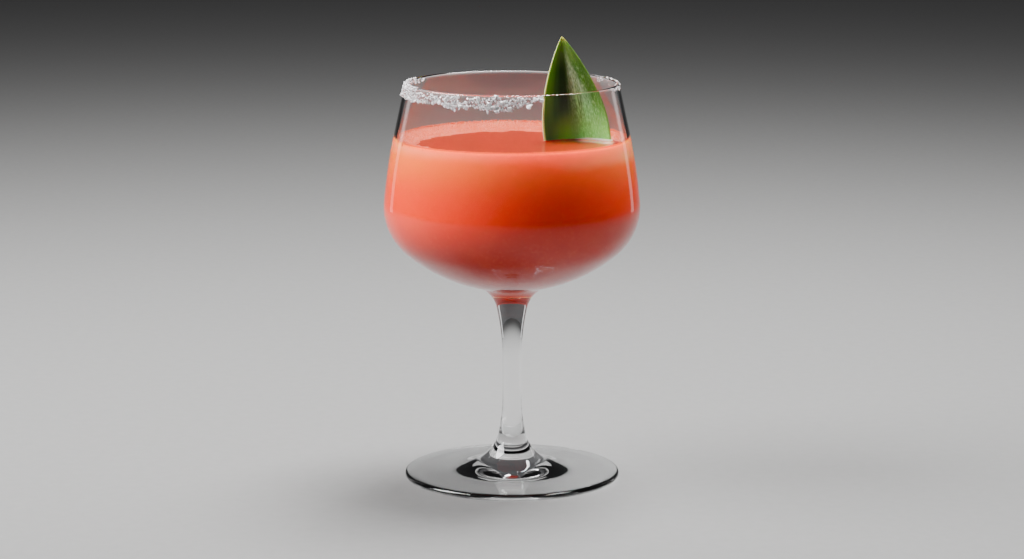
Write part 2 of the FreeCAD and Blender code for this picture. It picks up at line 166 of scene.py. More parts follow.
def run_tree(piece, tree, **values):
    gear = piece.modifiers.new(tree.name, "NODES")
    gear.node_group = tree
    wanted = {label.replace("_", " "): value for label, value in values.items()}
    for socket in tree.interface.items_tree:
        if socket.in_out == "INPUT" and socket.name in wanted:
            gear[socket.identifier] = wanted.pop(socket.name)
    assert not wanted, wanted
    graph = bpy.context.evaluated_depsgraph_get()
    made = bpy.data.meshes.new_from_object(
        piece.evaluated_get(graph), preserve_all_data_layers=True, depsgraph=graph)
    piece.modifiers.remove(gear)
    made.name = piece.name
    piece.data = made
    print(f"{piece.name}: {len(made.polygons)} faces")
    return piece


# %% [markdown]
# Two of the trees lay out a grid and then move its points, and others store a number on points or join
# parts, so these steps are functions. Points closer than a thousandth of a millimetre are meant to be one
# and are merged.

# %% Steps that trees share
ONE_PLACE = 0.001 * MM


def grid_places(tree, columns):
    """The row and the column of each point of a grid, from the point's number."""
    number = add(tree, "GeometryNodeInputIndex")[0]
    row = maths(tree, "FLOOR", over(tree, plus(tree, number, 0.5), columns))
    return row, minus(tree, number, times(tree, row, columns))


def moved_grid(tree, grid, places):
    """The grid with its points at their places, closed where they meet, and smooth."""
    shell = add(tree, "GeometryNodeSetPosition", {"Geometry": grid, "Position": places})[0]
    shell = add(tree, "GeometryNodeMergeByDistance", {"Geometry": shell, "Distance": ONE_PLACE})[0]
    return add(tree, "GeometryNodeSetShadeSmooth", {"Geometry": shell})[0]


def stored(tree, geometry, name, value, kind="FLOAT", domain="POINT"):
    feeds = {"Geometry": geometry, "Name": name, "Value": value}
    return add(tree, "GeometryNodeStoreNamedAttribute", feeds, data_type=kind, domain=domain)[0]


def joined(tree, *parts):
    together = add(tree, "GeometryNodeJoinGeometry")[0]
    for part in parts:
        tree.links.new(part, together.node.inputs[0])
    return together


# %% [markdown]
# ## Outlines
# Turned glass is described by half of its section: straight stretches and arcs, each of which starts where
# the last one ended. `trace` walks such a section and drops points on it, closer together where the arc is
# small, and `round_corner` puts a small arc in place of a sharp corner.

# %% Outline helpers
def arc_from(spoke, centre, sweep, count):
    """Points along an arc, its start too: the spoke goes from the centre to the start."""
    return [centre + Matrix.Rotation(sweep * n / count, 2) @ spoke for n in range(count + 1)]


def trace(start, moves, step=1.3, turn=5.0):
    places = [Vector(start)]
    for end, centre in moves:
        first, last = places[-1], Vector(end)
        if centre is None:
            count = max(1, round((last - first).length / step))
            places += [first.lerp(last, n / count) for n in range(1, count + 1)]
            continue
        spoke_in, spoke_out = first - Vector(centre), last - Vector(centre)
        sweep = math.atan2(spoke_in.cross(spoke_out), spoke_in.dot(spoke_out))
        steps_along = round(abs(sweep) * spoke_in.length / step)
        steps_round = round(math.degrees(abs(sweep)) / turn)
        places += arc_from(spoke_in, Vector(centre), sweep, max(steps_along, steps_round, 1))[1:]
    return places


def round_corner(before, corner, after, radius, count=6):
    before, corner, after = Vector(before), Vector(corner), Vector(after)
    way_in, way_out = (before - corner).normalized(), (after - corner).normalized()
    half = math.acos(way_in.dot(way_out)) / 2
    centre = corner + (way_in + way_out).normalized() * radius / math.sin(half)
    spoke = corner + way_in * radius / math.tan(half) - centre
    last = corner + way_out * radius / math.tan(half) - centre
    sweep = math.atan2(spoke.cross(last), spoke.dot(last))
    return arc_from(spoke, centre, sweep, count)


# %% [markdown]
# ## The turning tree
# A glass, and the drink that takes its shape, is one outline carried once round an axis. The tree lays out
# a grid with one row of points for each point of the outline and one column for each step round, then moves
# every grid point to its radius, turned by its step. Merging the points that coincide closes the seam and
# the two poles.

# %% Turning tree
turning, given = start_tree("Turned piece", Segments="Int", Finish="Material")
outline = given["Geometry"]
outline_count = add(turning, "GeometryNodeAttributeDomainSize", {"Geometry": outline})["Point Count"]
columns = plus(turning, given["Segments"], 1)
grid = add(turning, "GeometryNodeMeshGrid", {"Vertices X": outline_count, "Vertices Y": columns})["Mesh"]
row, column = grid_places(turning, columns)
place = add(turning, "GeometryNodeInputPosition")[0]
taken = add(turning, "GeometryNodeSampleIndex", {"Geometry": outline, "Value": place, "Index": row},
            data_type="FLOAT_VECTOR")
spot = split(turning, socket_named(taken, "Value"))
angle = times(turning, over(turning, column, given["Segments"]), math.tau)
across = times(turning, spot["X"], maths(turning, "COSINE", angle))
deep = times(turning, spot["X"], maths(turning, "SINE", angle))
wrapped = add(turning, "ShaderNodeCombineXYZ", {"X": across, "Y": deep, "Z": spot["Z"]})[0]
end_tree(turning, moved_grid(turning, grid, wrapped), given["Finish"])

# %% [markdown]
# The tree needs a mesh to read its outline from, so a turned piece starts as loose points in the XZ plane.
# The volume of the result is a good test: it is negative where the faces point inwards.

# %% Turn an outline
def mesh_piece(name, places=()):
    mesh = bpy.data.meshes.new(name)
    mesh.from_pydata([Vector(p) for p in places], [], [])
    return placed(name, mesh)


def turned_piece(name, outline, finish, segments):
    piece = mesh_piece(name, [(r * MM, 0, z * MM) for r, z in outline])
    return run_tree(piece, turning, Segments=segments, Finish=finish)


def volume_of(piece):
    """Signed volume in cubic centimetres."""
    probe = bmesh.new()
    probe.from_mesh(piece.data)
    found = probe.calc_volume(signed=True) * 1e6
    probe.free()
    return found


# %% [markdown]
# ## Words for finishes
# Each finish is a small graph too. Nearly all of them start from a noise in the object's own coordinates,
# mix colours by it and turn it into fine relief with a Bump node.

# %% Finish helpers
def new_finish(name):
    finish = bpy.data.materials.new(name)
    finish.use_nodes = True
    tree = finish.node_tree
    tree.nodes.clear()
    return finish, tree, add(tree, "ShaderNodeTexCoord")


def noise(tree, vector, scale, detail=2.0, roughness=0.5, distortion=0.0):
    feeds = {"Vector": vector, "Scale": scale, "Detail": detail, "Roughness": roughness,
             "Distortion": distortion}
    return socket_named(add(tree, "ShaderNodeTexNoise", feeds), "Fac")


def stretched(tree, vector, scale):
    return add(tree, "ShaderNodeMapping", {"Vector": vector, "Scale": scale})[0]


def bumped(tree, height, depth, strength=1.0, below=None):
    feeds = {"Height": height, "Distance": depth, "Strength": strength}
    if below is not None:
        feeds["Normal"] = below
    return add(tree, "ShaderNodeBump", feeds)[0]


def blended(tree, share, first, second):
    feeds = {0: share, "A": first, "B": second}
    return socket_named(add(tree, "ShaderNodeMix", feeds, data_type="RGBA"), "Result")


def end_finish(tree, shader):
    tree.links.new(shader, tree.nodes.new("ShaderNodeOutputMaterial").inputs["Surface"])


# %% [markdown]
# ## Clear glass
# Real drinking glass is colourless, bends light by its index of 1.5 and is polished, with the faintest
# ripple from being drawn while hot. Shadow rays and rays that leave a matt surface pass straight through it
# here, which stands in for the bright patterns real glass throws, and keeps the light on the drink soft and
# free of noise.

# %% Glass finish
clear_glass, tree, where = new_finish("clear glass")
ripple = noise(tree, stretched(tree, where["Object"], (1, 1, 0.35)), 60)
smear = noise(tree, where["Object"], 45, detail=4)
polished = add(tree, "ShaderNodeBsdfPrincipled", {
    "Base Color": (0.985, 0.99, 0.99, 1), "IOR": 1.5, "Transmission Weight": 1.0,
    "Roughness": remap(tree, smear, 0.45, 0.75, 0.0, 0.012),
    "Normal": bumped(tree, ripple, 0.02 * MM, 0.5)})[0]
straight_through = add(tree, "ShaderNodeBsdfTransparent", {"Color": (0.95, 0.955, 0.955, 1)})[0]
ray = add(tree, "ShaderNodeLightPath")
lets_by = maths(tree, "MAXIMUM", ray["Is Shadow Ray"], ray["Is Diffuse Ray"])
end_finish(tree, add(tree, "ShaderNodeMixShader", {0: lets_by, 1: polished, 2: straight_through})[0])

# %% [markdown]
# ## The glass
# One gather of glass: a bowl with thin walls, a drawn stem that flares at both ends and a foot like a
# shallow dish. The outline goes up inside the bowl, over the fire-polished rim and down the outside to the
# hollow under the foot, so that one turned shell is the whole closed glass. Each line below is one stretch:
# where it ends, and the centre of its arc, or None where it is straight.

# %% Turn the glass
RIM, WALL, RIM_ROUND = (39.8, 150.0), 1.3, 0.5
BOWL_BOTTOM, BOTTOM_END, BELLY_END = (0, 73.7), (38.4864, 86.7032), (46.6565, 105.3794)
BOTTOM_CENTRE, BELLY_CENTRE = (0, 137.157), (25.75, 103.4)
SIDE_CENTRE, SIDE_ROUND = (-176.0475, 84.2939), 223.7
inside = trace(BOWL_BOTTOM, [
    (BOTTOM_END, BOTTOM_CENTRE),
    (BELLY_END, BELLY_CENTRE),
    ((42.3039, 132.9184), SIDE_CENTRE),
    ((RIM[0] - WALL, RIM[1]), None)])
bowl_outside = [
    ((43.6023, 132.9181), None),
    ((47.9480, 105.5309), (-176.0225, 84.0310)),
    ((40.1167, 86.3445), BELLY_CENTRE),
    ((14.3286, 73.3710), (0, 133.9693))]
stem_outside = [
    ((5.7386, 64.6283), (16.9749, 62.1796)),
    ((3.56, 44.4), (98.56, 44.4)),
    ((3.56, 32), None),
    ((5.0475, 16.6447), (83.56, 32))]
foot_outside = [
    ((12.4, 6.4584), (19.7686, 19.5238)),
    ((24.6893, 2.8855), (26.1547, 30.8471)),
    ((39.7050, 2.0986), None),
    ((39.65, 0), (39.65, 1.05)),
    ((36.45, 0), None),
    ((0, 1.2), (0, -552.98))]
outside = trace(RIM, bowl_outside + stem_outside + foot_outside)
lip = (round_corner(inside[-2], inside[-1], outside[0], RIM_ROUND)
       + round_corner(inside[-1], outside[0], outside[1], RIM_ROUND))
glass = turned_piece("glass_turned", inside[:-1] + lip + outside[1:], clear_glass, segments=192)
print("glass holds", round(volume_of(glass), 2), "cm3 of glass")

# %% [markdown]
# ## Leaf finish
# A pineapple leaf is stiff and fibrous. Fine fibres run its whole length, the middle of the channel is
# darker, partly its own colour and partly painted shade of the fold, a thin margin is pale, the tip has dried
# to straw and a dusty white bloom lies on the face, drawn brighter along one line as a painted highlight. The
# leaf
# carries its own map: U runs across the face from margin to margin and V runs from the tip down, so the
# pattern follows the blade. Three noises, drawn out along the blade by different amounts, give the grain of
# it all.

# %% Leaf grain
leaf_skin, tree, where = new_finish("pineapple leaf")
leaf_map = split(tree, where["UV"])
u, v = leaf_map["X"], leaf_map["Y"]
fibres = noise(tree, stretched(tree, where["UV"], (46, 1.6, 1)), 1, detail=3, roughness=0.62)
streaks = noise(tree, stretched(tree, where["UV"], (9, 0.9, 1)), 1, detail=2, distortion=0.4)
specks = noise(tree, stretched(tree, where["UV"], (60, 34, 1)), 1, detail=3, roughness=0.7)


def away_from(tree, value, middle):
    return maths(tree, "ABSOLUTE", minus(tree, value, middle))


def both(tree, value, low, high, other, other_low, other_high, least=0.0, most=1.0):
    """How far two values both are through their ranges: the second counts from `least` to `most`."""
    return times(tree, remap(tree, value, low, high), remap(tree, other, other_low, other_high, least, most))


# %% [markdown]
# The bloom is wax, patchy with the grain, and it is drawn thickest and brightest along a line a little right
# of the middle, where it is also a painted highlight. It is worked out apart from the other coats, because it
# makes the leaf duller too.

# %% Leaf bloom and painted highlight
# painted highlight: the line, reach and pale tint of the bloom put a sheen where light catches the face
highlight_line = remap(tree, v, 0.1, 0.6, 0.56, 0.68)
highlight_reach = remap(tree, v, 0.05, 0.65, 0.10, 0.30)
from_highlight_line = over(tree, away_from(tree, u, highlight_line), highlight_reach)
bloom_highlight_place = both(tree, from_highlight_line, 1.0, 0.1, v, 0.03, 0.16)
bloom_and_highlight = times(tree, bloom_highlight_place, remap(tree, plus(tree, fibres, specks), 0.72, 1.2))
bloom_highlight_tint = blended(tree, remap(tree, v, 0.30, 0.50), (0.56, 0.76, 0.52, 1), (0.34, 0.86, 0.34, 1))

# %% [markdown]
# The colour is laid on like paint. It starts as streaks of two deep greens, and each coat below says where
# it lies, how strong it is and its tint, from the first coat to the last.

# %% Leaf coats
from_fold, from_painted_glow = away_from(tree, u, 0.38), away_from(tree, u, 0.34)
# painted shade: the fold of the channel is darkened in its upper half, partly the leaf's own darker middle
shade = both(tree, from_fold, 0.13, 0.03, v, 0.62, 0.38, 0.15, 0.92)
dry_edge = plus(tree, v, times(tree, streaks, 0.04))
leaf_coats = {
    "fibres": (remap(tree, fibres, 0.35, 0.75), 0.45, (0.06, 0.18, 0.02, 1)),
    "shaded fold": (shade, 1.0, (0.011, 0.050, 0.003, 1)),
    "left strip": (both(tree, u, 0.26, 0.10, v, 0.60, 0.36, 0.35, 1.0), 0.75, (0.13, 0.40, 0.008, 1)),
    # painted glow: the lower leaf is made lighter green, standing for light thrown up from the drink and
    # through the blade
    "painted_glow": (both(tree, v, 0.48, 0.68, from_painted_glow, 0.24, 0.03), 0.8, (0.27, 0.86, 0.005, 1)),
    "bloom_and_highlight": (bloom_and_highlight, 0.9, bloom_highlight_tint),
    "pale foot": (both(tree, v, 0.42, 0.70, u, 0.22, 0.50), 0.6, (0.36, 0.92, 0.22, 1)),
    "dust": (both(tree, specks, 0.50, 0.66, u, 0.40, 0.62), 0.35, (0.62, 0.92, 0.50, 1)),
    "pale top": (remap(tree, v, 0.24, 0.06), 0.7, (0.17, 0.27, 0.05, 1)),
    "dark edge": (both(tree, u, 0.74, 0.90, v, 0.46, 0.34), 0.65, (0.010, 0.042, 0.003, 1)),
    "left margin": (remap(tree, u, 0.036, 0.012), 1.0, (0.62, 0.66, 0.34, 1)),
    "right margin": (remap(tree, u, 0.975, 0.992), 0.5, (0.12, 0.20, 0.04, 1)),
    "dried tip": (remap(tree, dry_edge, 0.075, 0.02), 0.9, (0.40, 0.31, 0.13, 1))}
flesh = blended(tree, remap(tree, streaks, 0.3, 0.72), (0.020, 0.118, 0.000, 1), (0.048, 0.190, 0.002, 1))
for share, strength, tint in leaf_coats.values():
    flesh = blended(tree, times(tree, share, strength), flesh, tint)
ribbed = bumped(tree, fibres, 0.12 * MM, 0.75)
end_finish(tree, add(tree, "ShaderNodeBsdfPrincipled", {
    "Base Color": flesh, "IOR": 1.45, "Specular IOR Level": 0.3,
    "Normal": bumped(tree, specks, 0.04 * MM, 0.5, below=ribbed),
    "Roughness": remap(tree, bloom_and_highlight, 0.0, 0.8, 0.36, 0.62),
    "Subsurface Weight": 0.5, "Subsurface Scale": 1.6 * MM, "Subsurface Radius": (0.8, 1.0, 0.1)})[0])
print("leaf coats:", ", ".join(leaf_coats))

# %% [markdown]
# ## The leaf
# The blade is a channel, hollow towards the front, that widens from a sharp tip by one smooth rule until it
# is as wide as it gets. The rule makes it a good piece for Geometry Nodes: each point of a grid knows how
# far round the blade's thin section it is and how far below the tip. The rows crowd together near the tip,
# where the shape changes fastest.

# %% Leaf tree: rows and columns
CROWDING, BLUNTNESS, SQUARENESS = 1.35, 0.9, 0.55
GROOVE_TURNS, GROOVE_DEPTH = 75.0, 0.02 * MM
leaf_sizes = ["Length", "Width", "Taper", "Thickness", "Half_channel", "Dip"]
blade, given = start_tree("Channelled leaf", **{size: "Float" for size in leaf_sizes},
                          Rows="Int", Round="Int", Finish="Material")
columns = plus(blade, given["Round"], 1)
grid = add(blade, "GeometryNodeMeshGrid", {"Vertices X": given["Rows"], "Vertices Y": columns})["Mesh"]
row, column = grid_places(blade, columns)
last_row = minus(blade, given["Rows"], 1)
open_row = maths(blade, "LESS_THAN", row, minus(blade, last_row, 0.5))
share = maths(blade, "MINIMUM", over(blade, row, minus(blade, given["Rows"], 2)), 1.0)
share = maths(blade, "POWER", share, CROWDING)
below_tip = times(blade, share, given["Length"])
turn = times(blade, over(blade, column, given["Round"]), math.tau)

# %% [markdown]
# How full the blade is at each row follows a quarter of a sine wave. Across, the section is a flattened
# ring: the cosine of the turn gives the side, the sine gives front or back, and a power squares it off, so
# that the margins are blunt. A fast cosine cuts fine grooves along the face, and the last row is shut to
# close the cut end.

# %% Leaf tree: width and thickness
taper_share = maths(blade, "MINIMUM", over(blade, below_tip, given["Taper"]), 1.0)
fullness = maths(blade, "POWER", maths(blade, "SINE", times(blade, taper_share, math.pi / 2)), BLUNTNESS)
root = maths(blade, "SQRT", fullness)
side = times(blade, maths(blade, "COSINE", turn), open_row)
height = maths(blade, "SINE", turn)
squared = maths(blade, "POWER", maths(blade, "ABSOLUTE", height), SQUARENESS)
proud = times(blade, maths(blade, "SIGN", height), squared)
half_width = times(blade, times(blade, given["Width"], 0.5), fullness)
half_thickness = times(blade, given["Thickness"], 0.5, root)
thick = times(blade, half_thickness, times(blade, proud, open_row))
groove = maths(blade, "COSINE", times(blade, side, GROOVE_TURNS))
groove = times(blade, groove, times(blade, root, GROOVE_DEPTH))

# %% [markdown]
# The channel is a bend round an upright axis in front of the blade. The same angle everywhere keeps the
# section alike from tip to foot, so the bend's radius follows the width. The map is stored before the
# points move, on the corners of the faces, where a UV map lives.

# %% Leaf tree: bend and map
bend = over(blade, half_width, maths(blade, "SINE", given["Half channel"]))
lean = times(blade, side, given["Half channel"])
reach = plus(blade, bend, plus(blade, half_thickness, plus(blade, thick, groove)))
across = times(blade, reach, maths(blade, "SINE", lean))
forward = minus(blade, times(blade, reach, maths(blade, "COSINE", lean)), bend)
up = minus(blade, minus(blade, given["Length"], given["Dip"]), below_tip)
laid = add(blade, "ShaderNodeCombineXYZ", {"X": across, "Y": forward, "Z": up})[0]
map_u = plus(blade, times(blade, maths(blade, "COSINE", turn), 0.5), 0.5)
leaf_uv = add(blade, "ShaderNodeCombineXYZ", {"X": map_u, "Y": share})[0]
leaf_uv = add(blade, "GeometryNodeFieldOnDomain", {"Value": leaf_uv},
              data_type="FLOAT_VECTOR", domain="POINT")
mapped = stored(blade, grid, "UVMap", socket_named(leaf_uv, "Value"), "FLOAT2", "CORNER")
end_tree(blade, moved_grid(blade, mapped, laid), given["Finish"])

# %% [markdown]
# The tree makes the leaf upright on the origin, at the level of the drink. It is then leaned a little to
# the left and moved to its place in the glass, in its mesh, so that the object itself stays at the origin.

# %% Make the leaf
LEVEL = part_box("drink")[1].z / MM
LEAF_LEAN, LEAF_PLACE = 8.6, (24.2, -6.0)
leaf = run_tree(mesh_piece("leaf_blade"), blade, Length=55.8 * MM, Width=23.1 * MM, Taper=36 * MM,
                Thickness=1.4 * MM, Half_channel=math.radians(54), Dip=16.8 * MM, Rows=110, Round=132,
                Finish=leaf_skin)
leaned = Matrix.Rotation(-math.radians(LEAF_LEAN), 4, "Y")
leaf.data.transform(Matrix.Translation(Vector((*LEAF_PLACE, LEVEL)) * MM) @ leaned)
leaf_top = max(p.co.z for p in leaf.data.vertices)
print("leaf", round(volume_of(leaf), 2), "cm3, top", round(leaf_top / MM, 1), "mm")

# %% [markdown]
# ## Drink finishes
# The drink is fruit juice shaken with ice: cloudy, so light sinks in, spreads and comes back more orange.
# Object coordinates give the height and the place on the surface, and subsurface scattering does the
# spreading. The body and the surface need different colours, so there are two finishes, which start and end
# alike.

# %% Drink finish helpers
def start_juice(name):
    """A finish and what it reads: the place, the depth under the level and the noises."""
    finish, tree, where = new_finish(name)
    spot = split(tree, where["Object"])
    wisps = noise(tree, where["Object"], 70, detail=4, roughness=0.6)
    read = {"X": spot["X"], "Y": spot["Y"], "down": minus(tree, LEVEL * MM, spot["Z"]),
            "wisps": wisps, "stray": minus(tree, wisps, 0.5),
            "pulp": noise(tree, where["Object"], 900, detail=2),
            "foam": noise(tree, where["Object"], 2600, detail=3, roughness=0.7)}
    return finish, tree, read


def frothed(tree, read, colour, froth_share, froth):
    colour = blended(tree, times(tree, froth_share, 0.72), colour, froth)
    pulpy = times(tree, remap(tree, read["pulp"], 0.5, 0.8), 0.12)
    return blended(tree, pulpy, colour, (0.97, 0.22, 0.06, 1))


def end_juice(tree, read, colour, froth_share, specular):
    # painted shade: the meniscus against the front of the glass, where light catches it, is darkened
    painted_front_shade = both(tree, read["down"], 0.15 * MM, -0.25 * MM, read["Y"], -10 * MM, -22 * MM)
    colour = blended(tree, times(tree, painted_front_shade, 0.85), colour, (0.30, 0.020, 0.002, 1))
    bubbly = bumped(tree, times(tree, read["foam"], froth_share), 0.12 * MM, 0.6)
    end_finish(tree, add(tree, "ShaderNodeBsdfPrincipled", {
        "Base Color": colour, "IOR": 1.34, "Specular IOR Level": specular,
        "Normal": bumped(tree, read["wisps"], 0.2 * MM, 0.3, below=bubbly),
        "Roughness": remap(tree, froth_share, 0.0, 0.6, 0.08, 0.45),
        "Subsurface Weight": 1.0, "Subsurface Scale": 12 * MM, "Subsurface Radius": (1.0, 0.25, 0.06),
        "Subsurface Anisotropy": 0.5})[0])


# %% [markdown]
# Seen through the wall, the drink has settled a little, from pale pink froth at the top to deep red-orange
# low in the bowl; the strong darkening low in the bowl is partly the settled drink and partly painted shade.
# The froth is a band a few millimetres deep, drawn deeper and paler towards the right as a painted glow of
# light coming in through the surface. The body gets no gloss of its own, because it lies against the glass.

# %% Body of the drink
drink_juice, tree, read = start_juice("coral drink")
down = read["down"]
colour = blended(tree, remap(tree, down, 3 * MM, 20 * MM), (0.98, 0.180, 0.012, 1), (0.93, 0.050, 0.001, 1))
# partly settled drink, partly painted shade: the colour darkens strongly from 16 to 50 mm below the level
colour = blended(tree, remap(tree, down, 16 * MM, 50 * MM), colour, (0.40, 0.010, 0.001, 1))
wispy = times(tree, remap(tree, read["wisps"], 0.42, 0.72), 0.12)
colour = blended(tree, wispy, colour, (0.96, 0.14, 0.03, 1))
# painted glow: towards the right the froth band is drawn deeper and its tint paler, for light that enters the
# top there
painted_glow_to_right = remap(tree, read["X"], 4 * MM, 26 * MM)
band = minus(tree, down, times(tree, painted_glow_to_right, 3.6 * MM))
ragged_band = plus(tree, band, times(tree, read["stray"], 3 * MM))
froth_share = times(tree, remap(tree, ragged_band, 4.8 * MM, 0.8 * MM),
                    remap(tree, down, -0.3 * MM, 1.1 * MM, 0.2, 1.0))
froth_tint = blended(tree, read["foam"], (0.96, 0.24, 0.10, 1), (0.98, 0.36, 0.20, 1))
froth_tint = blended(tree, painted_glow_to_right, froth_tint, (1.0, 0.42, 0.19, 1))
end_juice(tree, read, frothed(tree, read, colour, froth_share, froth_tint), froth_share, 0.0)

# %% [markdown]
# From above, a clear red pool reaches the glass at the front, with froth round its sides and back.
# `pool_reach` says how far out from the pool's middle a place is, and the froth bubbles further down read
# it too. Between the leaf and the wall at the right the drink's mesh will carry a number for a pale creamy
# mark, and the finish is paler there: partly froth gathered by the leaf and partly a painted highlight of
# the wet meniscus.

# %% Surface of the drink
POOL_CENTRE, POOL_HALF_SIZE = (3.0, -14.5), (38.0, 34.0)


def pool_reach(tree, x, y):
    """How far a place is from the middle of the clear pool: 1 is the pool's edge."""
    offs = [over(tree, minus(tree, value, middle * MM), half * MM)
            for value, middle, half in zip((x, y), POOL_CENTRE, POOL_HALF_SIZE)]
    return maths(tree, "SQRT", plus(tree, *[times(tree, off, off) for off in offs]))


drink_top, tree, read = start_juice("coral drink surface")
from_pool = plus(tree, pool_reach(tree, read["X"], read["Y"]), times(tree, read["stray"], 0.5))
froth_share = remap(tree, from_pool, 0.90, 1.05)
froth_tint = blended(tree, read["foam"], (0.50, 0.064, 0.020, 1), (0.62, 0.108, 0.044, 1))
colour = frothed(tree, read, (0.26, 0.011, 0.001, 1), froth_share, froth_tint)
# partly froth, partly painted highlight: the drink is made pale and creamy beside the leaf
gathered = add(tree, "ShaderNodeAttribute", attribute_name="gathered")["Fac"]
gathered = times(tree, gathered, remap(tree, read["foam"], 0.30, 0.60, 0.5, 1.0), 0.9)
colour = blended(tree, gathered, colour, (0.97, 0.54, 0.34, 1))
end_juice(tree, read, colour, froth_share, 0.2)

# %% [markdown]
# ## The drink
# The drink takes the shape of the bowl. Its outline is the inside of the glass moved a fifth of a
# millimetre into the wall, because a hair of air between the two would shine like a mirror. Where a liquid
# meets glass it climbs a little, so the surface curves up in a meniscus before it ends in the wall.

# %% Turn the drink
INTO_WALL, CLIMB, CREEP, RINGS = 0.2, 0.55, 1.3, 74


def side_radius(height, into_wall=0.0):
    reach = SIDE_ROUND + into_wall
    return SIDE_CENTRE[0] + math.sqrt(reach ** 2 - (height - SIDE_CENTRE[1]) ** 2)


def moved_out(point, centre):
    point, centre = Vector(point), Vector(centre)
    return point + (point - centre).normalized() * INTO_WALL


wall_at_level = side_radius(LEVEL + CLIMB)
radii = [wall_at_level * n / RINGS for n in range(RINGS + 1)]
surface = [(radius, LEVEL + CLIMB * math.exp((radius - wall_at_level) / CREEP)) for radius in radii]
below = trace((side_radius(LEVEL + CLIMB, INTO_WALL), LEVEL + CLIMB), [
    (moved_out(BELLY_END, SIDE_CENTRE), SIDE_CENTRE),
    (moved_out(BOTTOM_END, BELLY_CENTRE), BELLY_CENTRE),
    ((0, BOWL_BOTTOM[1] - INTO_WALL), BOTTOM_CENTRE)])
drink_outline = surface + [tuple(p) for p in below]
drink = turned_piece("drink_body", drink_outline, drink_juice, segments=240)
print("drink", round(volume_of(drink), 1), "cm3")

# %% [markdown]
# The drink also climbs a little where the leaf stands in it. Geometry Proximity tells each point of the
# surface how far away the leaf is, and the tree lifts the near ones. The same distance marks the narrow space
# between the leaf and the wall at the right, which is made pale: partly froth gathered there and partly a
# painted highlight of the wet meniscus.

# %% Let the drink climb the leaf
SURFACE_SLACK = 0.1 * MM
wetting, given = start_tree("Climb the leaf", Leaf="Object", Level="Float", Climb="Float", Reach="Float",
                            Finish="Material", Surface_finish="Material")
leaf_info = add(wetting, "GeometryNodeObjectInfo", {"Object": given["Leaf"]}, transform_space="RELATIVE")
nearest = add(wetting, "GeometryNodeProximity", {"Geometry": leaf_info["Geometry"]}, target_element="FACES")
away = socket_named(nearest, "Distance")
spot = split(wetting, add(wetting, "GeometryNodeInputPosition")[0])
high = maths(wetting, "GREATER_THAN", spot["Z"], minus(wetting, given["Level"], SURFACE_SLACK))
lift = maths(wetting, "EXPONENT", over(wetting, times(wetting, away, -1), given["Reach"]))
lift = add(wetting, "ShaderNodeCombineXYZ", {"Z": times(wetting, lift, given["Climb"], high)})[0]
raised = add(wetting, "GeometryNodeSetPosition", {"Geometry": given["Geometry"], "Offset": lift})[0]
raised = add(wetting, "GeometryNodeSetMaterial", {"Geometry": raised, "Material": given["Finish"]})[0]
# partly froth, partly painted highlight: the pale mark between the leaf and the wall
between = both(wetting, spot["X"], 23 * MM, 28 * MM, spot["X"], 38 * MM, 35 * MM)
gathered = times(wetting, remap(wetting, away, 7 * MM, 2.5 * MM), between, high)
raised = stored(wetting, raised, "gathered", gathered)
facing_up = split(wetting, add(wetting, "GeometryNodeInputNormal")[0])["Z"]
top_only = times(wetting, high, maths(wetting, "GREATER_THAN", facing_up, 0.3))
end_tree(wetting, raised, given["Surface finish"], top_only)
run_tree(drink, wetting, Leaf=leaf, Level=LEVEL * MM, Climb=0.5 * MM, Reach=0.7 * MM, Finish=drink_juice,
         Surface_finish=drink_top)

# %% [markdown]
# ## The wet line
# Where the drink has drawn up on the leaf it holds a thin bead, kept only on the right half and coloured
# near white as a painted highlight of the wet meniscus. The leaf's own mesh gives its path: a flat cut just
# above the drink's level leaves one loop of edges.

# %% Path and finish of the wet line
WET_LINE_ABOVE = 0.45
cut = bmesh.new()
cut.from_mesh(leaf.data)
bmesh.ops.bisect_plane(cut, geom=cut.verts[:] + cut.edges[:] + cut.faces[:], plane_no=(0, 0, 1),
                       plane_co=(0, 0, (LEVEL + WET_LINE_ABOVE) * MM), clear_inner=True, clear_outer=True)
wet_line = mesh_piece("leaf_wet_line")
cut.to_mesh(wet_line.data)
cut.free()
print("the leaf's loop has", len(wet_line.data.edges), "edges")
wet_bead_highlight, tree, where = new_finish("wet bead")
beading = noise(tree, where["Object"], 900, detail=2)
# painted highlight: the bead's near-white colour stands for light caught on the wet meniscus
end_finish(tree, add(tree, "ShaderNodeBsdfPrincipled", {
    "Base Color": blended(tree, beading, (0.92, 0.76, 0.60, 1), (0.98, 0.92, 0.80, 1)),
    "Roughness": remap(tree, beading, 0.3, 0.7, 0.05, 0.2), "IOR": 1.34,
    "Subsurface Weight": 0.5, "Subsurface Scale": 0.6 * MM})[0])

# %% [markdown]
# The tree cuts the loop off at the left, turns the rest into a curve and gives it a round section. The bead,
# and with it the painted highlight, thins out towards the left through the Scale input of Curve to Mesh,
# because that node takes no notice of the curve's own radius.

# %% Wet line tree
beaded, given = start_tree("Wet line", Radius="Float", From="Float", Full="Float", Finish="Material")
along = split(beaded, add(beaded, "GeometryNodeInputPosition")[0])["X"]
too_far = maths(beaded, "LESS_THAN", along, given["From"])
line = add(beaded, "GeometryNodeDeleteGeometry", {"Geometry": given["Geometry"], "Selection": too_far},
           domain="POINT")[0]
line = add(beaded, "GeometryNodeMeshToCurve", {"Mesh": line})[0]
line = add(beaded, "GeometryNodeResampleCurve", {"Curve": line, "Length": 0.3 * MM}, mode="LENGTH")[0]
swell = times(beaded, remap(beaded, along, given["From"], given["Full"], 0.15, 1.0), given["Radius"])
section = add(beaded, "GeometryNodeCurvePrimitiveCircle", {"Resolution": 8, "Radius": 1.0})["Curve"]
bead = add(beaded, "GeometryNodeCurveToMesh", {
    "Curve": line, "Profile Curve": section, "Scale": swell, "Fill Caps": True})[0]
